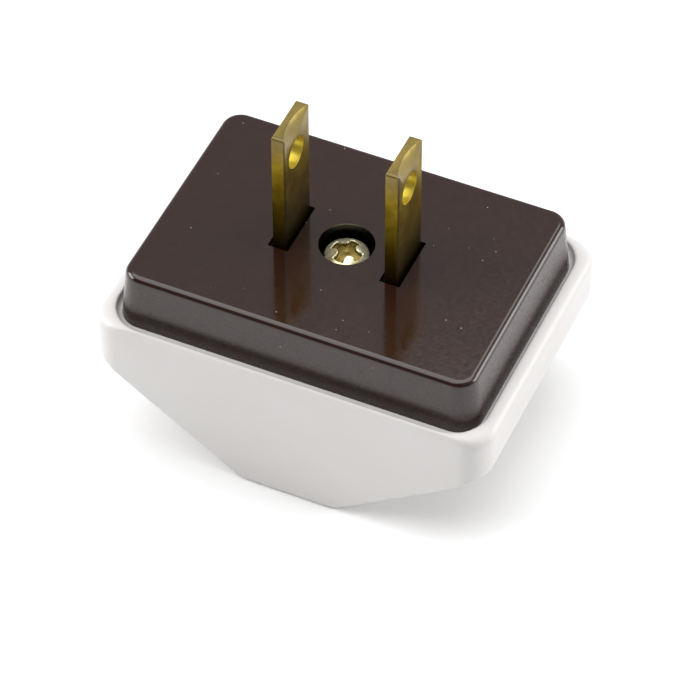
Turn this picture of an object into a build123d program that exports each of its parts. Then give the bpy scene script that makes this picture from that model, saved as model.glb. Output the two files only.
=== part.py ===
from build123d import *
import os
from math import atan2, cos, radians, sin, tan

# Two-way plug adapter: a pale moulded cover with two sloping outlet faces, and a dark moulded base
# that carries the two flat plug blades. Millimetres. +Z runs along the blades, X is the long way,
# and the origin is the centre of the narrow front face that the adapter stands on.

os.makedirs("parts", exist_ok=True)

# Cover, outside
cover_length = 45.0
cover_width = 32.1
rim_height = 17.8
flange_height = 5.5
front_length = 11.0
cover_draft = 0.9
cover_corner_radius = 3.0
cover_edge_radius = 0.5
nose_radius = 3.2
rim_edge_radius = 0.6

# Cover, inside
cover_wall = 2.4
slope_wall = 2.2
front_wall = 2.2
lip_wall = 0.75
lip_depth = 1.0
lip_corner_radius = 4.2
cavity_corner_radius = 1.2
cover_boss_radius = 3.4
rib_thickness = 1.2
spine_drop = 0.36
chamber_wall = 1.0
chamber_depth = 4.3
chamber_gap = 0.3

# Outlet slots on each slope
outlet_offset = 8.2
slot_length = 7.6
slot_width = 2.2
slot_lead_in = 0.4
bevel_angle = 45

# Base
body_height = 23.3
base_top_length = 39.5
base_top_width = 27.2
base_draft = 6.2
base_top_radius = 2.1
base_edge_radius = 0.7
base_face = 1.8
spigot_depth = 1.8
spigot_wall = 1.9
spigot_clearance = 0.2
spigot_corner_radius = 1.0
base_boss_radius = 4.25
base_boss_length = 2.9
counterbore_radius = 3.0
counterbore_depth = 2.35
screw_clearance = 0.15
boss_gap = 0.1
strut_thickness = 1.4
strut_spacing = 10.5
strut_length = 6.5
strut_gap = 0.05

# Plug blades
blade_spacing = 12.7
blade_width = 6.3
blade_thickness = 1.35
blade_reach = 15.4
blade_tip_radius = 0.35
blade_tip_scoop_width = 0.65
blade_tip_scoop_height = 1.4
blade_hole_radius = 1.8
blade_hole_height = 11.2
blade_slot_side_gap = 0.48
blade_slot_end_gap = 0.35
blade_slot_relief = 0.5
foot_length = 5.65
foot_bend_radius = 0.4
foot_fence_height = 1.1
foot_fence_gap = 0.25
foot_fence_thickness = 0.8

# Bus strips
bus_thickness = 0.8
bus_bend_radius = 0.4
bus_arm_length = 5.0
bus_arm_overhang = 0.5
bus_band_height = 4.8
bus_band_drop = 0.8
bus_band_overrun = 2.55
bus_support_gap = 0.05

# Contact clips
clip_strip = 0.45
clip_width = 4.8
clip_half_width = 1.85
clip_pinch_gap = 1.2
clip_mouth_gap = 2.45
clip_mouth_depth = 2.9
clip_pinch_depth = 4.9
clip_straight_depth = 8.6
clip_bend_radius = 0.6
clip_top_gap = 0.2
clip_pair_gap = 1.0

# Rivets
foot_rivet_radius = 0.8
foot_rivet_head_radius = 1.3
foot_rivet_head_height = 0.6
foot_rivet_half_pitch = 1.8
foot_rivet_setback = 2.6
clip_rivet_radius = 0.7
clip_rivet_head_radius = 1.2
clip_rivet_head_height = 0.5

# Screw and threaded insert
screw_radius = 1.3
screw_length = 10.0
screw_point = 0.4
screw_head_radius = 2.35
screw_head_height = 1.8
screw_head_side = 0.9
cross_recess_span = 3.1
cross_recess_width = 0.85
cross_recess_depth = 1.15
cross_recess_turn = -11.5
cross_recess_taper = 8
insert_radius = 2.2
insert_length = 6.0
thread_clearance = 0.02

# Heights and places that follow from the sizes above
match_limit = 0.01
embed = 1.0
ledge_height = rim_height - lip_depth
slope_rise = rim_height - flange_height
slope_run = (cover_length - front_length) / 2
slope_angle = atan2(slope_rise, slope_run)
inner_face_height = body_height - base_face
seat_height = body_height - counterbore_depth
base_boss_bottom = inner_face_height - base_boss_length
cover_boss_top = base_boss_bottom - boss_gap
foot_underside = inner_face_height - blade_thickness
arm_underside = foot_underside - bus_thickness
blade_x = blade_spacing / 2
outlet_y = blade_spacing / 2
foot_end_x = blade_x + foot_length
foot_rivet_x = foot_end_x - foot_rivet_setback
arm_end_x = foot_end_x + bus_arm_overhang
arm_start_x = arm_end_x - bus_arm_length
band_inner_y = outlet_y + clip_half_width
band_outer_y = band_inner_y + bus_thickness
band_top = arm_underside - bus_band_drop
cavity_half_length = cover_length / 2 - cover_wall
cavity_half_width = cover_width / 2 - cover_wall
spigot_half_length = cavity_half_length - spigot_clearance
spigot_half_width = cavity_half_width - spigot_clearance
hollow_half_length = spigot_half_length - spigot_wall
hollow_half_width = spigot_half_width - spigot_wall
flare = (body_height - ledge_height) * tan(radians(base_draft))


def inner_slope_height(x):
    # Height of the inside of a sloping wall at a distance x from the middle
    return (x - front_length / 2) * tan(slope_angle) + slope_wall / cos(slope_angle)


def outline_of(faces):
    # The edges that border only one of the faces
    return [edge for edge in faces.edges() if sum(edge in face.edges() for face in faces) == 1]


# Outlet frame on the right-hand slope: x up the slope, z out of the cover
outlet_centre = Vector(
    front_length / 2 + outlet_offset * cos(slope_angle), 0, outlet_offset * sin(slope_angle)
)
slope_up = Vector(cos(slope_angle), 0, sin(slope_angle))
slope_out = Vector(sin(slope_angle), 0, -cos(slope_angle))
right_outlet = Plane(origin=outlet_centre, x_dir=slope_up, z_dir=slope_out)
left_outlet = Plane(
    origin=Vector(-outlet_centre.X, 0, outlet_centre.Z),
    x_dir=Vector(-slope_up.X, 0, slope_up.Z),
    z_dir=Vector(-slope_out.X, 0, slope_out.Z),
)

# Each clip ends just under the base, or just short of the clip that faces it across the middle
clip_half_rise = clip_width / 2 * sin(slope_angle)
clip_half_run = clip_width / 2 * cos(slope_angle)
room_under_base = inner_face_height - clip_top_gap - outlet_centre.Z - clip_half_rise
room_to_middle = outlet_centre.X - clip_pair_gap / 2 - clip_half_run
clip_total_depth = min(room_under_base / cos(slope_angle), room_to_middle / sin(slope_angle))

# Clip rivets sit on the bus strip's band, and clear of the web at the clip's end
web_depth = clip_total_depth - clip_strip
rivet_depth_on_band = (band_top - bus_band_height / 2 - outlet_centre.Z) / cos(slope_angle)
rivet_depth_at_web = web_depth - clip_bend_radius - clip_rivet_radius
clip_rivet_depth = min(rivet_depth_on_band, rivet_depth_at_web)
clip_rivet_point = outlet_centre - slope_out * clip_rivet_depth
band_bottom = clip_rivet_point.Z - bus_band_height / 2

# Cover: a trough-shaped shell with a stepped rim, a screw boss, ribs and contact chambers
floor_half_length = front_length / 2 + front_wall / tan(slope_angle) - slope_wall / sin(slope_angle)
cross_rib_x = (foot_rivet_x + foot_rivet_head_radius + arm_end_x) / 2
spine_top = cover_boss_top - spine_drop

with BuildPart() as cover:
    with BuildSketch(Plane.XY.offset(rim_height)):
        RectangleRounded(cover_length, cover_width, cover_corner_radius)
    extrude(amount=-rim_height, taper=cover_draft)
    with BuildSketch(Plane.XZ) as cover_profile:
        with BuildLine():
            Polyline(
                (-cover_length / 2, rim_height),
                (-cover_length / 2, slope_rise),
                (-front_length / 2, 0),
                (front_length / 2, 0),
                (cover_length / 2, slope_rise),
                (cover_length / 2, rim_height),
                close=True,
            )
        make_face()
        fillet(cover_profile.vertices().group_by(Axis.Y)[0], nose_radius)
    extrude(amount=cover_width / 2, both=True, mode=Mode.INTERSECT)
    low_faces = cover.faces().filter_by(lambda face: face.center().Z < slope_rise)
    front_and_slopes = low_faces.filter_by(lambda face: abs(face.normal_at().Y) < match_limit)
    fillet(outline_of(front_and_slopes), cover_edge_radius)
    fillet(cover.faces().sort_by(Axis.Z)[-1].edges(), rim_edge_radius)

    with BuildSketch(Plane.XY.offset(rim_height)):
        RectangleRounded(
            cover_length - 2 * lip_wall, cover_width - 2 * lip_wall, lip_corner_radius
        )
    extrude(amount=-lip_depth, mode=Mode.SUBTRACT)

    with BuildSketch(Plane.XZ):
        with BuildLine():
            Polyline(
                (-cavity_half_length, ledge_height),
                (-cavity_half_length, inner_slope_height(cavity_half_length)),
                (-floor_half_length, front_wall),
                (floor_half_length, front_wall),
                (cavity_half_length, inner_slope_height(cavity_half_length)),
                (cavity_half_length, ledge_height),
                close=True,
            )
        make_face()
    extrude(amount=cavity_half_width, both=True, mode=Mode.SUBTRACT)
    cavity_corners = (
        cover.edges()
        .filter_by(Axis.Z)
        .filter_by(lambda e: abs(abs(e.center().X) - cavity_half_length) < match_limit)
        .filter_by(lambda e: abs(abs(e.center().Y) - cavity_half_width) < match_limit)
    )
    fillet(cavity_corners, cavity_corner_radius)

    # Spine rib between the two poles
    with BuildSketch(Plane.XZ):
        with BuildLine():
            Polyline(
                (-cross_rib_x, inner_slope_height(cross_rib_x) - embed),
                (-floor_half_length, front_wall - embed),
                (floor_half_length, front_wall - embed),
                (cross_rib_x, inner_slope_height(cross_rib_x) - embed),
                (cross_rib_x, spine_top),
                (-cross_rib_x, spine_top),
                close=True,
            )
        make_face()
    extrude(amount=rib_thickness / 2, both=True)

    # Cross ribs that hold the bus strips up against the base
    rib_bottom = inner_slope_height(cross_rib_x) - embed
    rib_top = arm_underside - bus_support_gap
    rib_middle = (rib_bottom + rib_top) / 2
    with BuildSketch(Plane.XZ):
        with Locations((-cross_rib_x, rib_middle), (cross_rib_x, rib_middle)):
            Rectangle(rib_thickness, rib_top - rib_bottom)
    extrude(amount=blade_width / 2, both=True)

    # Walls of the four contact chambers
    chamber_y = clip_half_width + chamber_gap + chamber_wall / 2
    for outlet in (left_outlet, right_outlet):
        with BuildSketch(outlet.offset(-slope_wall / 2)):
            for row in (-outlet_y, outlet_y):
                with Locations((0, row - chamber_y), (0, row + chamber_y)):
                    Rectangle(slot_length, chamber_wall)
        extrude(amount=-(slope_wall / 2 + chamber_depth))

    # Screw boss with its blind hole and the seat of the threaded insert
    with BuildSketch(Plane.XY.offset(front_wall / 2)):
        Circle(cover_boss_radius)
    extrude(amount=cover_boss_top - front_wall / 2)
    with BuildSketch(Plane.XY.offset(cover_boss_top)):
        Circle(insert_radius)
    extrude(amount=-insert_length, mode=Mode.SUBTRACT)
    with BuildSketch(Plane.XY.offset(cover_boss_top)):
        Circle(screw_radius + screw_clearance)
    extrude(amount=-(cover_boss_top - seat_height + screw_length + embed), mode=Mode.SUBTRACT)

    # Outlet slots with a lead-in
    for outlet in (left_outlet, right_outlet):
        with BuildSketch(outlet):
            with Locations((0, -outlet_y), (0, outlet_y)):
                Rectangle(slot_length, slot_width)
        extrude(amount=-(slope_wall + embed), mode=Mode.SUBTRACT)
        with BuildSketch(outlet):
            with Locations((0, -outlet_y), (0, outlet_y)):
                Rectangle(slot_length + 2 * slot_lead_in, slot_width + 2 * slot_lead_in)
        extrude(amount=-slot_lead_in, taper=bevel_angle, mode=Mode.SUBTRACT)
cover.part.label = "cover"
export_step(cover.part, "parts/cover.step")

# Base: a drafted tray, face up, with a spigot that enters the cover
with BuildPart() as base:
    with BuildSketch(Plane.XY.offset(ledge_height)):
        RectangleRounded(
            base_top_length + 2 * flare, base_top_width + 2 * flare, base_top_radius + flare
        )
    extrude(amount=body_height - ledge_height, taper=base_draft)
    fillet(base.faces().sort_by(Axis.Z)[-1].edges(), base_edge_radius)
    with BuildSketch(Plane.XY.offset(ledge_height)):
        RectangleRounded(2 * spigot_half_length, 2 * spigot_half_width, spigot_corner_radius)
    extrude(amount=-spigot_depth)
    with BuildSketch(Plane.XY.offset(ledge_height - spigot_depth)):
        RectangleRounded(2 * hollow_half_length, 2 * hollow_half_width, spigot_corner_radius)
    extrude(amount=inner_face_height - ledge_height + spigot_depth, mode=Mode.SUBTRACT)

    # Screw boss
    with BuildSketch(Plane.XY.offset(base_boss_bottom)):
        Circle(base_boss_radius)
    extrude(amount=base_boss_length + base_face / 2)

    # Struts that back the bus strips
    strut_depth = hollow_half_width - band_outer_y - strut_gap + embed
    with BuildSketch(Plane.XY.offset(inner_face_height + base_face / 2)):
        for side in (-1, 1):
            strut_y = side * (band_outer_y + strut_gap + strut_depth / 2)
            with Locations((-strut_spacing, strut_y), (0, strut_y), (strut_spacing, strut_y)):
                Rectangle(strut_thickness, strut_depth)
    extrude(amount=-(strut_length + base_face / 2))

    # Fences beside the blade feet
    fence_y = blade_width / 2 + foot_fence_gap + foot_fence_thickness / 2
    fence_x = blade_x + foot_length / 2 + blade_thickness
    with BuildSketch(Plane.XY.offset(inner_face_height + base_face / 2)):
        for side in (-1, 1):
            with Locations((side * fence_x, -fence_y), (side * fence_x, fence_y)):
                Rectangle(foot_length - blade_thickness, foot_fence_thickness)
    extrude(amount=-(foot_fence_height + base_face / 2))

    # Blade slots, eased on the inside for the bend of the blade
    blade_slot_width = blade_thickness + 2 * blade_slot_side_gap
    blade_slot_length = blade_width + 2 * blade_slot_end_gap
    with BuildSketch(Plane.XY.offset(body_height)):
        with Locations((-blade_x, 0), (blade_x, 0)):
            Rectangle(blade_slot_width, blade_slot_length)
    extrude(amount=-(base_face + embed), mode=Mode.SUBTRACT)
    with BuildSketch(Plane.XY.offset(inner_face_height)):
        with Locations((-blade_x, 0), (blade_x, 0)):
            Rectangle(blade_slot_width + 2 * blade_slot_relief, blade_slot_length)
    extrude(amount=blade_slot_relief, taper=bevel_angle, mode=Mode.SUBTRACT)

    # Screw hole and its counterbore
    with BuildSketch(Plane.XY.offset(body_height)):
        Circle(counterbore_radius)
    extrude(amount=-counterbore_depth, mode=Mode.SUBTRACT)
    with BuildSketch(Plane.XY.offset(body_height)):
        Circle(screw_radius + screw_clearance)
    extrude(amount=-(body_height - base_boss_bottom), mode=Mode.SUBTRACT)
base.part.label = "base"
export_step(base.part, "parts/base.step")

# Tool that scoops a shallow hollow bevel out of a blade tip, drawn for a blade at the middle
scoop_slant = atan2(blade_tip_scoop_height, blade_tip_scoop_width)
scoop_depth = blade_tip_scoop_width * sin(scoop_slant)
scoop_radius = ((blade_width / 2) ** 2 + scoop_depth**2) / (2 * scoop_depth)
scoop_out = Vector(sin(scoop_slant), 0, cos(scoop_slant))
scoop_start = Vector(blade_thickness / 2 - blade_tip_scoop_width, 0, body_height + blade_reach)
scoop_plane = Plane(
    origin=scoop_start + scoop_out * scoop_radius,
    x_dir=(0, 1, 0),
    z_dir=(cos(scoop_slant), 0, -sin(scoop_slant)),
)
with BuildPart() as tip_scoop:
    with BuildSketch(scoop_plane):
        Circle(scoop_radius)
    extrude(amount=blade_width / 2, both=True)

# Plug blades: flat brass with a bored tip, bent outward into a foot inside the base
for pole, side in (("live", 1), ("neutral", -1)):
    with BuildPart() as blade:
        foot_face_x = side * (blade_x + blade_thickness / 2)
        back_face_x = side * (blade_x - blade_thickness / 2)
        with BuildSketch(Plane.XZ) as blade_profile:
            with BuildLine():
                Polyline(
                    (back_face_x, body_height + blade_reach),
                    (foot_face_x, body_height + blade_reach),
                    (foot_face_x, inner_face_height),
                    (side * foot_end_x, inner_face_height),
                    (side * foot_end_x, foot_underside),
                    (back_face_x, foot_underside),
                    close=True,
                )
            make_face()
            corners = blade_profile.vertices()
            fillet(
                corners.sort_by_distance((foot_face_x, inner_face_height))[0], foot_bend_radius
            )
            corners = blade_profile.vertices()
            fillet(
                corners.sort_by_distance((back_face_x, foot_underside))[0],
                foot_bend_radius + blade_thickness,
            )
        extrude(amount=blade_width / 2, both=True)
        tip_edges = blade.edges().filter_by(Axis.X).group_by(Axis.Z)[-1]
        fillet(tip_edges, blade_tip_radius)
        add(tip_scoop.part.moved(Location((side * blade_x, 0, 0))), mode=Mode.SUBTRACT)
        with BuildSketch(Plane.YZ.offset(side * blade_x)):
            with Locations((0, body_height + blade_hole_height)):
                Circle(blade_hole_radius)
        extrude(amount=blade_thickness, both=True, mode=Mode.SUBTRACT)
        with BuildSketch(Plane.XY.offset(foot_underside)):
            with Locations(
                (side * foot_rivet_x, -foot_rivet_half_pitch),
                (side * foot_rivet_x, foot_rivet_half_pitch),
            ):
                Circle(foot_rivet_radius)
        extrude(amount=blade_thickness, mode=Mode.SUBTRACT)
    blade.part.label = f"{pole}_blade"
    export_step(blade.part, f"parts/{pole}_blade.step")

# Live bus strip: an arm under the blade foot, bent down into a band behind the clips
with BuildPart() as live_busbar:
    with BuildSketch(Plane.YZ.offset(arm_start_x)) as bus_profile:
        with BuildLine():
            Polyline(
                (-blade_width / 2, arm_underside),
                (-blade_width / 2, foot_underside),
                (band_outer_y, foot_underside),
                (band_outer_y, band_bottom),
                (band_inner_y, band_bottom),
                (band_inner_y, arm_underside),
                close=True,
            )
        make_face()
        fillet(
            bus_profile.vertices().sort_by_distance((band_inner_y, arm_underside))[0],
            bus_bend_radius,
        )
        fillet(
            bus_profile.vertices().sort_by_distance((band_outer_y, foot_underside))[0],
            bus_bend_radius + bus_thickness,
        )
    extrude(amount=bus_arm_length)
    band_far_x = clip_rivet_point.X + bus_band_overrun
    with BuildSketch(Plane.XZ.offset(-band_inner_y)):
        with Locations(((arm_end_x - band_far_x) / 2, (band_top + band_bottom) / 2)):
            Rectangle(arm_end_x + band_far_x, band_top - band_bottom)
    extrude(amount=-bus_thickness)
    with BuildSketch(Plane.XY.offset(arm_underside)):
        with Locations(
            (foot_rivet_x, -foot_rivet_half_pitch), (foot_rivet_x, foot_rivet_half_pitch)
        ):
            Circle(foot_rivet_radius)
    extrude(amount=bus_thickness, mode=Mode.SUBTRACT)
    with BuildSketch(Plane.XZ.offset(-band_inner_y)):
        with Locations(
            (-clip_rivet_point.X, clip_rivet_point.Z), (clip_rivet_point.X, clip_rivet_point.Z)
        ):
            Circle(clip_rivet_radius)
    extrude(amount=-bus_thickness, mode=Mode.SUBTRACT)
live_busbar.part.label = "live_busbar"
export_step(live_busbar.part, "parts/live_busbar.step")

# Live clip of the right-hand outlet: a hairpin of spring strip that pinches an inserted blade
leaf = clip_half_width - clip_strip
pinch = clip_pinch_gap / 2
mouth = clip_mouth_gap / 2
clip_plane = Plane(
    origin=outlet_centre + Vector(0, outlet_y, 0), x_dir=Vector(0, 1, 0), z_dir=slope_up
)
with BuildPart() as live_clip_right:
    with BuildSketch(clip_plane):
        with BuildLine():
            FilletPolyline(
                (-mouth, clip_mouth_depth),
                (-pinch, clip_pinch_depth),
                (-leaf, clip_straight_depth),
                (-leaf, web_depth),
                (leaf, web_depth),
                (leaf, clip_straight_depth),
                (pinch, clip_pinch_depth),
                (mouth, clip_mouth_depth),
                radius=clip_bend_radius,
            )
            offset(amount=clip_strip, side=Side.LEFT)
        make_face()
    extrude(amount=clip_width / 2, both=True)
    with BuildSketch(Plane.XZ.offset(-(outlet_y + pinch))):
        with Locations((clip_rivet_point.X, clip_rivet_point.Z)):
            Circle(clip_rivet_radius)
    extrude(amount=-clip_half_width, mode=Mode.SUBTRACT)
live_clip_right.part.label = "live_clip_right"
export_step(live_clip_right.part, "parts/live_clip_right.step")

with BuildPart() as live_clip_left:
    mirror(live_clip_right.part, about=Plane.YZ)
live_clip_left.part.label = "live_clip_left"
export_step(live_clip_left.part, "parts/live_clip_left.step")

with BuildPart() as neutral_clip_right:
    mirror(live_clip_right.part, about=Plane.XZ)
neutral_clip_right.part.label = "neutral_clip_right"
export_step(neutral_clip_right.part, "parts/neutral_clip_right.step")

with BuildPart() as neutral_clip_left:
    add(live_clip_right.part, rotation=(0, 0, 180))
neutral_clip_left.part.label = "neutral_clip_left"
export_step(neutral_clip_left.part, "parts/neutral_clip_left.step")

# The neutral bus strip is the live one turned half round
with BuildPart() as neutral_busbar:
    add(live_busbar.part, rotation=(0, 0, 180))
neutral_busbar.part.label = "neutral_busbar"
export_step(neutral_busbar.part, "parts/neutral_busbar.step")

# Foot rivets: peened flush in the blade foot, with a flat head under the bus strip
for pole, side in (("live", 1), ("neutral", -1)):
    for number, row in ((1, -1), (2, 1)):
        with BuildPart() as foot_rivet:
            with BuildSketch(Plane.XY.offset(arm_underside)):
                with Locations((side * foot_rivet_x, row * foot_rivet_half_pitch)):
                    Circle(foot_rivet_head_radius)
            extrude(amount=-foot_rivet_head_height)
            with BuildSketch(Plane.XY.offset(arm_underside)):
                with Locations((side * foot_rivet_x, row * foot_rivet_half_pitch)):
                    Circle(foot_rivet_radius)
            extrude(amount=inner_face_height - arm_underside)
        rivet_name = f"{pole}_foot_rivet_{number}"
        foot_rivet.part.label = rivet_name
        export_step(foot_rivet.part, f"parts/{rivet_name}.step")

# Clip rivets: peened flush inside the clip, with a flat head behind the bus strip
for pole, row in (("live", 1), ("neutral", -1)):
    for outlet_name, side in (("left", -1), ("right", 1)):
        rivet_plane = Plane(
            origin=(side * clip_rivet_point.X, row * band_outer_y, clip_rivet_point.Z),
            x_dir=(1, 0, 0),
            z_dir=(0, row, 0),
        )
        with BuildPart() as clip_rivet:
            with BuildSketch(rivet_plane):
                Circle(clip_rivet_head_radius)
            extrude(amount=clip_rivet_head_height)
            with BuildSketch(rivet_plane):
                Circle(clip_rivet_radius)
            extrude(amount=-(bus_thickness + clip_strip))
        rivet_name = f"{pole}_clip_rivet_{outlet_name}"
        clip_rivet.part.label = rivet_name
        export_step(clip_rivet.part, f"parts/{rivet_name}.step")

# Threaded insert moulded into the cover's boss
with BuildPart() as threaded_insert:
    with BuildSketch(Plane.XY.offset(cover_boss_top)):
        Circle(insert_radius)
    extrude(amount=-insert_length)
    with BuildSketch(Plane.XY.offset(cover_boss_top)):
        Circle(screw_radius + thread_clearance)
    extrude(amount=-insert_length, mode=Mode.SUBTRACT)
threaded_insert.part.label = "threaded_insert"
export_step(threaded_insert.part, "parts/threaded_insert.step")

# Pan-head screw with a cross recess, seated in the base's counterbore
with BuildPart() as screw:
    head_top = seat_height + screw_head_height
    head_shoulder = seat_height + screw_head_side
    screw_tip = seat_height - screw_length
    crown_height = screw_head_height - screw_head_side
    crown_radius = (screw_head_radius**2 + crown_height**2) / (2 * crown_height)
    with BuildSketch(Plane.XZ):
        with BuildLine():
            Polyline(
                (0, head_top),
                (0, screw_tip),
                (screw_radius - screw_point, screw_tip),
                (screw_radius, screw_tip + screw_point),
                (screw_radius, seat_height),
                (screw_head_radius, seat_height),
                (screw_head_radius, head_shoulder),
            )
            RadiusArc((screw_head_radius, head_shoulder), (0, head_top), -crown_radius)
        make_face()
    revolve(axis=Axis.Z)
    with BuildSketch(Plane.XY.offset(head_top)):
        Rectangle(cross_recess_span, cross_recess_width, rotation=cross_recess_turn)
        Rectangle(cross_recess_width, cross_recess_span, rotation=cross_recess_turn)
    extrude(amount=-cross_recess_depth, taper=cross_recess_taper, mode=Mode.SUBTRACT)
screw.part.label = "screw"
export_step(screw.part, "parts/screw.step")
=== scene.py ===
from math import cos, hypot, pi, radians, sin, tan
import bmesh
import bpy
from mathutils import Matrix, Vector


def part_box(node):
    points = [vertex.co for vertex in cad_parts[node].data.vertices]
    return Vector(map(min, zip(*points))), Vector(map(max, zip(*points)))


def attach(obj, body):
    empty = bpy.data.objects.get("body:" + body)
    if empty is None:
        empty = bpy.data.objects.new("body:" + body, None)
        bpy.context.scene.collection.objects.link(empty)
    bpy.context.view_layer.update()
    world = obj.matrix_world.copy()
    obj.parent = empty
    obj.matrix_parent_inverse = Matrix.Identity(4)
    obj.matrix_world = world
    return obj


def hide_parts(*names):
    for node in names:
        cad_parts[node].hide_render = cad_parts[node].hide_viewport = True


# Double socket adapter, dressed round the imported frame. Metres, in the frame's own axes;
# angles are in degrees.

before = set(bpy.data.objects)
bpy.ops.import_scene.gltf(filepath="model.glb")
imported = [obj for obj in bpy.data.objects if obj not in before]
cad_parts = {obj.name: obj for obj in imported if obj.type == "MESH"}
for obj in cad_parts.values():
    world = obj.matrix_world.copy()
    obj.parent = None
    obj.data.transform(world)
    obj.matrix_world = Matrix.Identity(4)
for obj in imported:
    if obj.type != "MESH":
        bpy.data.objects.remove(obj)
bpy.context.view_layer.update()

# Camera, at the photograph's viewing angle; its lens and sensor are in millimetres
camera_azimuth = 24.122
camera_elevation = 47.349
camera_roll = -0.017
camera_place = (0.121442, -0.270407, 0.328769)
camera_lens = 209.689
camera_sensor = 36
camera_near = 0.01
camera_far = 20

# Studio: a floor, a sky that is brighter behind the part, and three lights aimed at it
floor_half_size = 3.0
floor_height = -0.00001
sky_front = 0.14
sky_back = 0.56
sky_turn = (-0.55, 0.25)
light_aim = (0, 0, 0.02)
top_place = (-0.08, 0.08, 0.85)
top_size = (1.25, 0.95)
top_radiance = 2.45
right_place = (0.75, 0.45, 0.30)
right_size = (0.6, 0.5)
right_radiance = 5.3
left_place = (-0.85, -0.30, 0.40)
left_size = (0.6, 0.5)
left_radiance = 7.2

# Cover, rim and seat of the base. The rim's height is stated here, because the cover's box
# reaches up to the cross ribs inside it, which stand higher than the rim
rim_height = 0.0178
rim_band = 0.0035
cover_half_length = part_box("cover")[1][0]
cover_half_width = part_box("cover")[1][1]
cover_corner = 0.0030
cover_draft = 0.9
cad_edge_round = 0.0006
cad_edge_height = rim_height - cad_edge_round
lip_cut = 0.0163
lip_rise = 0.0010
lip_end_wall = 0.00155
lip_side_wall = 0.00060
lip_inner_round = 0.00022
lip_inner_steps = 3
opening_corner = 0.0040
groove_end_reach = 0.00195
groove_side_reach = 0.00155
groove_corner = 0.0032
seat_depth = 0.0010
seat_height = rim_height - seat_depth
seat_reach = 0.0023
seat_corner = 0.0025
ring_steps = 8

# Base
body_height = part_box("base")[1][2]
well_radius = 0.0030
well_margin = 0.00004
well_shadow_depth = 0.00015
wall_haze_start = 0.0003
wall_haze_full = 0.0007

# Blades
blade_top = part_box("live_blade")[1][2]
blade_hole_rise = 0.0112
blade_hole_height = body_height + blade_hole_rise
blade_hole_radius = 0.0018
blade_hole_margin = 0.00003
edge_round = 0.00013
# Painted shade in a line along the blade's near edge
edge_shade_place = -0.00282
edge_shade_half_width = 0.00026
foot_shade_rise = 0.011
tip_wear_start = 0.0040
tip_wear_full = 0.0006

# Screw
head_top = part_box("screw")[1][2]
head_radius = 0.00235
head_crown = 0.0009
head_join = 0.0003
head_rings = 44
head_segments = 120
recess_radius = 0.00175
recess_margin = 0.00005
recess_depth = 0.00062
recess_rise = 0.45
recess_turn = -11.5
recess_wall = 0.00016
recess_shade_start = 0.00008
recess_shade_full = 0.00025
land_reach = 0.00162
land_radius = 0.00062

# Meshes
merge_distance = 1e-7
flat_angle = 0.5
crease_angle = 32

# Materials measure in millimetres, and their colours are linear red, green and blue
to_mm = 1000
urea_shade = (0.575, 0.555, 0.542)
urea_light = (0.615, 0.598, 0.587)
urea_dust = (0.22, 0.20, 0.18)
phenolic_shade = (0.014, 0.0045, 0.003)
phenolic_light = (0.024, 0.0085, 0.005)
phenolic_dust = (0.36, 0.35, 0.34)
phenolic_haze = (0.97, 0.95, 1.0)
# Painted shade for the screw's well in the base
painted_well_shade = (0.0012, 0.0008, 0.0003)
blade_light = (0.265, 0.180, 0.010)
blade_shade = (0.170, 0.108, 0.003)
# Painted shade for the blades' feet, where they reflect the dark base
blade_foot_painted_shade = (0.022, 0.011, 0.0004)
# Painted shade for the line by the blades' near edge
blade_edge_painted_shade = (0.030, 0.017, 0.001)
blade_bore = (0.52, 0.40, 0.05)
blade_tip = (0.20, 0.16, 0.07)
blade_stain = (0.03, 0.02, 0.005)
strip_light = (0.72, 0.52, 0.18)
strip_shade = (0.50, 0.36, 0.12)
screw_light = (0.93, 0.88, 0.62)
screw_shade = (0.72, 0.64, 0.36)
# Painted shade for the screw's recess
screw_recess_painted_shade = (0.17, 0.125, 0.025)
floor_white = (0.92, 0.92, 0.92)


# Studio

def add_camera():
    data = bpy.data.cameras.new("camera")
    data.lens = camera_lens
    data.sensor_width = camera_sensor
    data.clip_start = camera_near
    data.clip_end = camera_far
    camera = bpy.data.objects.new("camera", data)
    turn = Matrix.Rotation(radians(camera_azimuth), 4, "Z")
    tip = Matrix.Rotation(radians(90 - camera_elevation), 4, "X")
    roll = Matrix.Rotation(radians(camera_roll), 4, "Z")
    camera.matrix_world = Matrix.Translation(camera_place) @ turn @ tip @ roll
    bpy.context.scene.collection.objects.link(camera)
    bpy.context.scene.camera = camera


def add_area_light(name, place, size, radiance):
    data = bpy.data.lights.new(name, "AREA")
    data.shape = "RECTANGLE"
    data.size, data.size_y = size
    data.energy = radiance * pi * size[0] * size[1]
    light = bpy.data.objects.new(name, data)
    aim = Vector(light_aim) - Vector(place)
    light.location = place
    light.rotation_mode = "QUATERNION"
    light.rotation_quaternion = aim.to_track_quat("-Z", "Y")
    bpy.context.scene.collection.objects.link(light)


def add_sky():
    world = bpy.data.worlds.new("studio_sky")
    world.use_nodes = True
    tree = world.node_tree
    sky = tree.nodes["Background"]
    sky.inputs["Color"].default_value = (1, 1, 1, 1)
    towards = tree.nodes.new("ShaderNodeTexCoord")
    parts = tree.nodes.new("ShaderNodeSeparateXYZ")
    tree.links.new(towards.outputs["Generated"], parts.inputs["Vector"])
    strength = spread(tree, parts.outputs["Y"], *sky_turn, sky_front, sky_back)
    tree.links.new(strength, sky.inputs["Strength"])
    bpy.context.scene.world = world


def add_floor():
    corners = [
        (x * floor_half_size, y * floor_half_size, floor_height)
        for x, y in ((-1, -1), (1, -1), (1, 1), (-1, 1))
    ]
    mesh = bpy.data.meshes.new("floor")
    mesh.from_pydata(corners, [], [(0, 1, 2, 3)])
    floor = bpy.data.objects.new("floor", mesh)
    mesh.materials.append(floor_material())
    bpy.context.scene.collection.objects.link(floor)


# Nodes that the materials share

def new_material(name):
    material = bpy.data.materials.new(name)
    material.use_nodes = True
    tree = material.node_tree
    return material, tree, tree.nodes["Principled BSDF"]


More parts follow.
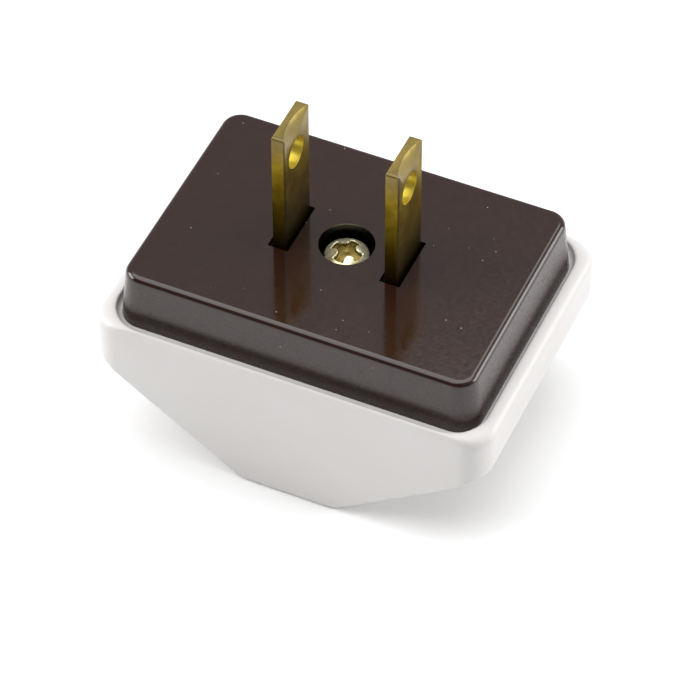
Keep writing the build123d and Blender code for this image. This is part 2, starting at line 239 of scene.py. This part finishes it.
def place_of(tree, scale=(1, 1, 1)):
    """Object coordinates in millimetres, stretched by scale."""
    where = tree.nodes.new("ShaderNodeTexCoord")
    mapping = tree.nodes.new("ShaderNodeMapping")
    mapping.inputs["Scale"].default_value = [to_mm * s for s in scale]
    tree.links.new(where.outputs["Object"], mapping.inputs["Vector"])
    return mapping.outputs["Vector"]


def axes_of(tree):
    """The object's X, Y and Z, in millimetres."""
    parts = tree.nodes.new("ShaderNodeSeparateXYZ")
    tree.links.new(place_of(tree), parts.inputs["Vector"])
    return [parts.outputs[axis] for axis in "XYZ"]


def noise(tree, place, scale, detail, roughness=0.5):
    texture = tree.nodes.new("ShaderNodeTexNoise")
    texture.inputs["Scale"].default_value = scale
    texture.inputs["Detail"].default_value = detail
    texture.inputs["Roughness"].default_value = roughness
    tree.links.new(place, texture.inputs["Vector"])
    return texture.outputs["Fac"]


def spread(tree, value, low, high, to_low, to_high):
    """Maps a value's range low to high onto to_low to to_high, held at its ends."""
    ramp = tree.nodes.new("ShaderNodeMapRange")
    ramp.inputs["From Min"].default_value = low
    ramp.inputs["From Max"].default_value = high
    ramp.inputs["To Min"].default_value = to_low
    ramp.inputs["To Max"].default_value = to_high
    tree.links.new(value, ramp.inputs["Value"])
    return ramp.outputs["Result"]


def mix_colour(tree, share, first, second):
    """Blends two colours by share; each is a colour or a node's output."""
    mix = tree.nodes.new("ShaderNodeMix")
    mix.data_type = "RGBA"
    tree.links.new(share, mix.inputs["Factor"])
    for socket, colour in ((mix.inputs[6], first), (mix.inputs[7], second)):
        if isinstance(colour, tuple):
            socket.default_value = (*colour, 1)
        else:
            tree.links.new(colour, socket)
    return mix.outputs[2]


def bump(tree, shader, height, depth, strength):
    """Raises the surface by height times depth, in metres."""
    node = tree.nodes.new("ShaderNodeBump")
    node.inputs["Strength"].default_value = strength
    node.inputs["Distance"].default_value = depth
    tree.links.new(height, node.inputs["Height"])
    tree.links.new(node.outputs["Normal"], shader.inputs["Normal"])


def maths(tree, operation, first, second=None):
    """One Math node; each input is a number or a node's output."""
    node = tree.nodes.new("ShaderNodeMath")
    node.operation = operation
    for socket, value in zip(node.inputs, (first, second)):
        if isinstance(value, (int, float)):
            socket.default_value = value
        elif value is not None:
            tree.links.new(value, socket)
    return node.outputs["Value"]


def distance(tree, across, along):
    """Root of the sum of two squares."""
    squares = [maths(tree, "MULTIPLY", span, span) for span in (across, along)]
    return maths(tree, "SQRT", maths(tree, "ADD", *squares))


def specks(tree, place, scale, radius, share):
    """Round spots of the given radius, in a share of the cells, which are 1 / scale wide."""
    cells = tree.nodes.new("ShaderNodeTexVoronoi")
    cells.inputs["Scale"].default_value = scale
    tree.links.new(place, cells.inputs["Vector"])
    reach = radius * scale
    spot = spread(tree, cells.outputs["Distance"], reach * 0.6, reach, 1, 0)
    parts = tree.nodes.new("ShaderNodeSeparateColor")
    tree.links.new(cells.outputs["Color"], parts.inputs["Color"])
    chosen = maths(tree, "LESS_THAN", parts.outputs["Red"], share)
    return maths(tree, "MULTIPLY", spot, chosen)


def metal(tree, shader, tint, low, high):
    """Drawn metal, with grain along Z; low and high bound its roughness."""
    tree.links.new(tint, shader.inputs["Base Color"])
    shader.inputs["Metallic"].default_value = 1.0
    drawn = noise(tree, place_of(tree, (1, 1, 0.06)), 3.0, 4)
    tree.links.new(spread(tree, drawn, 0.3, 0.7, low, high), shader.inputs["Roughness"])
    bump(tree, shader, drawn, 0.00001, 0.5)


# Materials

def cover_material():
    """Pale urea: faintly cloudy, with a little dust and a soft shine."""
    material, tree, shader = new_material("pale_urea")
    place = place_of(tree)
    cloud = noise(tree, place, 0.12, 3)
    tint = mix_colour(tree, cloud, urea_shade, urea_light)
    dust = specks(tree, place, 0.16, 0.10, 0.10)
    tint = mix_colour(tree, dust, tint, urea_dust)
    tree.links.new(tint, shader.inputs["Base Color"])
    peel = noise(tree, place, 1.6, 4)
    tree.links.new(spread(tree, peel, 0.3, 0.7, 0.34, 0.46), shader.inputs["Roughness"])
    bump(tree, shader, peel, 0.00002, 0.5)
    shader.inputs["IOR"].default_value = 1.52
    return material


def base_material():
    """Dark phenolic: a polished, dusty top, hazy walls and a well for the screw painted black
    as shade.
    """
    material, tree, shader = new_material("dark_phenolic")
    place = place_of(tree)
    x, y, z = axes_of(tree)
    cloud = noise(tree, place, 0.5, 4)
    tint = mix_colour(tree, cloud, phenolic_shade, phenolic_light)
    dust = specks(tree, place, 0.62, 0.08, 0.80)
    tint = mix_colour(tree, dust, tint, phenolic_dust)
    # Painted shade: the screw's well is coloured near black and given little shine
    well_reach = (well_radius + well_margin) * to_mm
    within = maths(tree, "LESS_THAN", distance(tree, x, y), well_reach)
    below = maths(tree, "LESS_THAN", z, (body_height - well_shadow_depth) * to_mm)
    well_shade_mask = maths(tree, "MULTIPLY", within, below)
    tint = mix_colour(tree, well_shade_mask, tint, painted_well_shade)
    tree.links.new(tint, shader.inputs["Base Color"])
    tree.links.new(spread(tree, well_shade_mask, 0, 1, 0.5, 0.1), shader.inputs["Specular IOR Level"])
    # The walls are duller than the top
    haze_full = (body_height - wall_haze_full) * to_mm
    haze_start = (body_height - wall_haze_start) * to_mm
    wall = spread(tree, z, haze_full, haze_start, 1, 0)
    peel = noise(tree, place, 2.2, 4)
    polish = spread(tree, peel, 0.3, 0.7, 0.08, 0.14)
    dulled = maths(tree, "ADD", polish, maths(tree, "MULTIPLY", wall, 0.15))
    tree.links.new(dulled, shader.inputs["Roughness"])
    bump(tree, shader, peel, 0.00001, 0.4)
    shader.inputs["IOR"].default_value = 1.56
    haze = maths(tree, "SUBTRACT", wall, well_shade_mask)
    tree.links.new(spread(tree, haze, 0, 1, 0.0, 0.66), shader.inputs["Sheen Weight"])
    shader.inputs["Sheen Roughness"].default_value = 0.22
    shader.inputs["Sheen Tint"].default_value = (*phenolic_haze, 1)
    return material


def blade_material():
    """Tarnished brass, greyer at the tip and bright in the bore, with painted shade dark at
    the foot and in a line by the near edge.
    """
    material, tree, shader = new_material("blade_brass")
    place = place_of(tree)
    _, y, z = axes_of(tree)
    cloud = spread(tree, noise(tree, place, 0.35, 5, 0.6), 0.42, 0.60, 0, 1)
    tint = mix_colour(tree, cloud, blade_light, blade_shade)
    # Painted shade darkens the blade towards its foot, standing in for the dark base it
    # reflects there
    foot_shade_top = (body_height + foot_shade_rise) * to_mm
    foot_painted_shade = spread(tree, z, body_height * to_mm, foot_shade_top, 1, 0)
    tint = mix_colour(tree, foot_painted_shade, tint, blade_foot_painted_shade)
    # A dark line of painted shade runs up the faces beside the near edge, where the rounded
    # edge turns from the light
    from_edge_shade = maths(tree, "ABSOLUTE", maths(tree, "SUBTRACT", y, edge_shade_place * to_mm))
    edge_shade_reach = edge_shade_half_width * to_mm
    edge_shade_line = spread(tree, from_edge_shade, edge_shade_reach * 0.5, edge_shade_reach, 0.72, 0)
    tint = mix_colour(tree, edge_shade_line, tint, blade_edge_painted_shade)
    above_hole = maths(tree, "SUBTRACT", z, blade_hole_height * to_mm)
    bore_reach = (blade_hole_radius + blade_hole_margin) * to_mm
    bore = maths(tree, "LESS_THAN", distance(tree, y, above_hole), bore_reach)
    tint = mix_colour(tree, bore, tint, blade_bore)
    wear_start = (blade_top - tip_wear_start) * to_mm
    wear_full = (blade_top - tip_wear_full) * to_mm
    tint = mix_colour(tree, spread(tree, z, wear_start, wear_full, 0, 0.65), tint, blade_tip)
    stains = specks(tree, place, 0.5, 0.10, 0.25)
    tint = mix_colour(tree, stains, tint, blade_stain)
    metal(tree, shader, tint, 0.26, 0.40)
    shader.inputs["Metallic"].default_value = 0.72
    shader.inputs["Specular IOR Level"].default_value = 0.1
    return material


def strip_material():
    """Cleaner brass, for the strips, clips, rivets and insert inside the cover."""
    material, tree, shader = new_material("strip_brass")
    cloud = spread(tree, noise(tree, place_of(tree), 0.35, 5, 0.6), 0.4, 0.7, 0, 1)
    tint = mix_colour(tree, cloud, strip_light, strip_shade)
    metal(tree, shader, tint, 0.22, 0.36)
    return material


def screw_material():
    """Pale brass, with painted shade where the recess is sunk below the head's crown."""
    material, tree, shader = new_material("screw_brass")
    x, y, z = axes_of(tree)
    cloud = spread(tree, noise(tree, place_of(tree), 0.8, 5, 0.6), 0.45, 0.65, 0, 1)
    tint = mix_colour(tree, cloud, screw_light, screw_shade)
    # Painted shade darkens the recess by its depth below the crown
    radius = distance(tree, x, y)
    fall = maths(tree, "MULTIPLY", radius, radius)
    fall = maths(tree, "MULTIPLY", fall, head_crown / head_radius**2 / to_mm)
    crown = maths(tree, "SUBTRACT", head_top * to_mm, fall)
    depth = maths(tree, "SUBTRACT", crown, z)
    within = maths(tree, "LESS_THAN", radius, (recess_radius + recess_margin) * to_mm)
    shade = spread(tree, depth, recess_shade_start * to_mm, recess_shade_full * to_mm, 0, 1)
    recess_painted_shade = maths(tree, "MULTIPLY", shade, within)
    tint = mix_colour(tree, recess_painted_shade, tint, screw_recess_painted_shade)
    metal(tree, shader, tint, 0.22, 0.34)
    shader.inputs["Metallic"].default_value = 0.75
    return material


def floor_material():
    material, _, shader = new_material("pale_floor")
    shader.inputs["Base Color"].default_value = (*floor_white, 1)
    shader.inputs["Roughness"].default_value = 1.0
    shader.inputs["Specular IOR Level"].default_value = 0.0
    return material


# Pieces that stand in for CAD nodes, in a finer form that the render needs

def form_of(name):
    """A copy of a CAD node's mesh, with its faces joined at their corners."""
    form = bmesh.new()
    form.from_mesh(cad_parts[name].data)
    bmesh.ops.remove_doubles(form, verts=form.verts, dist=merge_distance)
    return form


def add_piece(name, form, node, material, round_edges=0.0):
    """Turns a form into a piece that replaces a node, its sharp edges rounded if asked."""
    mesh = bpy.data.meshes.new(name)
    bmesh.ops.recalc_face_normals(form, faces=form.faces)
    form.to_mesh(mesh)
    form.free()
    mesh.materials.append(material)
    mesh.shade_smooth()
    mesh.set_sharp_from_angle(angle=radians(crease_angle))
    piece = bpy.data.objects.new(name, mesh)
    bpy.context.scene.collection.objects.link(piece)
    if round_edges:
        bevel = piece.modifiers.new("edges", "BEVEL")
        bevel.width = round_edges
        bevel.segments = 2
        bevel.limit_method = "ANGLE"
        bevel.angle_limit = radians(crease_angle)
        bevel.harden_normals = True
    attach(piece, "root")
    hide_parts(node)


def open_edges(form):
    return [edge for edge in form.edges if edge.is_boundary]


def edges_round(form, ring):
    """The edges between a ring's vertices, in order round it."""
    return [form.edges.get((ring[i - 1], ring[i])) for i in range(len(ring))]


def open_rings(form):
    """The innermost and outermost loop of open edges, as vertices in order round each."""
    edges = open_edges(form)
    loops = []
    while edges:
        loop = list(edges.pop().verts)
        while True:
            after = [edge for edge in edges if loop[-1] in edge.verts]
            if not after:
                break
            edges.remove(after[0])
            loop.append(after[0].other_vert(loop[-1]))
        if loop[0] == loop[-1]:
            loop.pop()
        loops.append(loop)
    loops.sort(key=lambda loop: max(vert.co.x for vert in loop))
    return loops[0], loops[-1]


def rim_rings():
    """Each ring of the rim, from the outer wall over the lip to the base's foot.

    A ring is its insets at the ends and the sides, its height and its corner radius.
    """
    wall = (lip_end_wall, lip_side_wall)
    groove = (groove_end_reach, groove_side_reach)
    rings = []
    # The rim's outer edge
    for step in range(ring_steps + 1):
        turn = radians(90) * step / ring_steps
        insets = [(w - lip_inner_round) * (1 - cos(turn)) for w in wall]
        corner = cover_corner + (opening_corner - cover_corner) * step / ring_steps
        rings.append((*insets, rim_height - lip_rise * (1 - sin(turn)), corner))
    # The lip's inner edge
    for step in range(1, lip_inner_steps + 1):
        turn = radians(90) * step / lip_inner_steps
        insets = [w - lip_inner_round * (1 - sin(turn)) for w in wall]
        rings.append((*insets, rim_height - lip_inner_round * (1 - cos(turn)), opening_corner))
    # The groove falls steeply at first, then runs out flat to the base's foot
    start = rim_height - lip_inner_round
    for step in range(1, ring_steps + 1):
        turn = radians(90) * step / ring_steps
        insets = [w + (g - w) * (1 - cos(turn)) for w, g in zip(wall, groove)]
        corner = opening_corner + (groove_corner - opening_corner) * step / ring_steps
        rings.append((*insets, start - (start - seat_height) * sin(turn), corner))
    rings.append((seat_reach, seat_reach, seat_height, seat_corner))
    return rings


def place_on_ring(vert, lengths, corner):
    """Where an outline's vertex comes on a ring of the given half sizes and corner radius."""
    core = (cover_half_length - cover_corner, cover_half_width - cover_corner)
    held = [max(-c, min(c, v)) for c, v in zip(core, vert.co)]
    away = [v - h for v, h in zip(vert.co, held)]
    size = hypot(*away)
    return [
        h * (length - corner) / c + corner * v / size
        for h, length, c, v in zip(held, lengths, core, away)
    ]


def add_cover(material):
    """The cover from the CAD up to a cut, with a rim, lip and groove built on its outline."""
    form = form_of("cover")
    # The rim above the cut comes off; what stands inside the cavity stays
    inside = (cover_half_length - rim_band, cover_half_width - rim_band)
    rim = [
        face
        for face in form.faces
        if all(abs(v.co.x) > inside[0] or abs(v.co.y) > inside[1] for v in face.verts)
    ]
    edges = {edge for face in rim for edge in face.edges}
    verts = {vert for face in rim for vert in face.verts}
    bmesh.ops.bisect_plane(
        form,
        geom=[*verts, *edges, *rim],
        plane_co=(0, 0, lip_cut),
        plane_no=(0, 0, 1),
        clear_outer=True,
    )
    inner, outer = open_rings(form)
    lean = tan(radians(cover_draft))
    ring = outer
    for end_inset, side_inset, height, corner in rim_rings():
        fall = lean * max(0.0, cad_edge_height - height)
        lengths = (cover_half_length - fall - end_inset, cover_half_width - fall - side_inset)
        above = [form.verts.new((*place_on_ring(v, lengths, corner), height)) for v in outer]
        for i in range(len(ring)):
            form.faces.new((ring[i - 1], ring[i], above[i], above[i - 1]))
        ring = above
    bmesh.ops.bridge_loops(form, edges=edges_round(form, ring) + edges_round(form, inner))
    add_piece("cover_moulding", form, "cover", material)


def add_blade(pole, material):
    """A blade from the CAD, with its sharp edges rounded."""
    form = form_of(f"{pole}_blade")
    bmesh.ops.dissolve_limit(
        form, angle_limit=radians(flat_angle), verts=form.verts, edges=form.edges
    )
    add_piece(f"{pole}_contact_blade", form, f"{pole}_blade", material, edge_round)


def recess_drop(x, y):
    """How far the cross recess lies below the crown at a point of the head."""
    turn = radians(recess_turn)
    u = abs(x * cos(turn) + y * sin(turn))
    v = abs(y * cos(turn) - x * sin(turn))
    land = land_reach * cos(radians(45))
    clear = min(hypot(u - land, v - land) - land_radius, recess_radius - hypot(x, y))
    # The wall eases in at its top and foot, and the floor rises outwards
    share = max(0.0, min(1.0, clear / recess_wall))
    floor = recess_depth * (1 - recess_rise * hypot(x, y) / recess_radius)
    return floor * share * share * (3 - 2 * share)


def add_screw(material):
    """The screw's shank from the CAD, with a domed head whose recess has flared wings."""
    form = form_of("screw")
    bmesh.ops.bisect_plane(
        form,
        geom=[*form.verts, *form.edges, *form.faces],
        plane_co=(0, 0, head_top - head_crown - head_join),
        plane_no=(0, 0, 1),
        clear_outer=True,
    )
    cut = open_edges(form)
    rings = []
    for ring in range(1, head_rings + 1):
        radius = head_radius * ring / head_rings
        row = []
        for segment in range(head_segments):
            angle = 2 * pi * segment / head_segments
            x, y = radius * cos(angle), radius * sin(angle)
            height = head_top - head_crown * (radius / head_radius) ** 2 - recess_drop(x, y)
            row.append(form.verts.new((x, y, height)))
        rings.append(row)
    centre = form.verts.new((0, 0, head_top - recess_drop(0, 0)))
    for i in range(head_segments):
        form.faces.new((centre, rings[0][i - 1], rings[0][i]))
        for inner, outer in zip(rings, rings[1:]):
            form.faces.new((inner[i - 1], outer[i - 1], outer[i], inner[i]))
    bmesh.ops.bridge_loops(form, edges=cut + edges_round(form, rings[-1]))
    add_piece("pan_head_screw", form, "screw", material)


def dress_nodes(finishes, strip):
    """Gives each node its finish, and the contacts inside the strip's."""
    for name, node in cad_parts.items():
        for slot in node.material_slots:
            slot.material = finishes.get(name, strip)


add_camera()
add_sky()
add_area_light("top", top_place, top_size, top_radiance)
add_area_light("right", right_place, right_size, right_radiance)
add_area_light("left", left_place, left_size, left_radiance)
add_floor()

urea = cover_material()
phenolic = base_material()
blade_brass = blade_material()
screw_brass = screw_material()
dress_nodes(
    {
        "cover": urea,
        "base": phenolic,
        "live_blade": blade_brass,
        "neutral_blade": blade_brass,
        "screw": screw_brass,
    },
    strip_material(),
)
add_cover(urea)
add_screw(screw_brass)
for pole in ("live", "neutral"):
    add_blade(pole, blade_brass)

bpy.context.scene.view_settings.view_transform = "Standard"
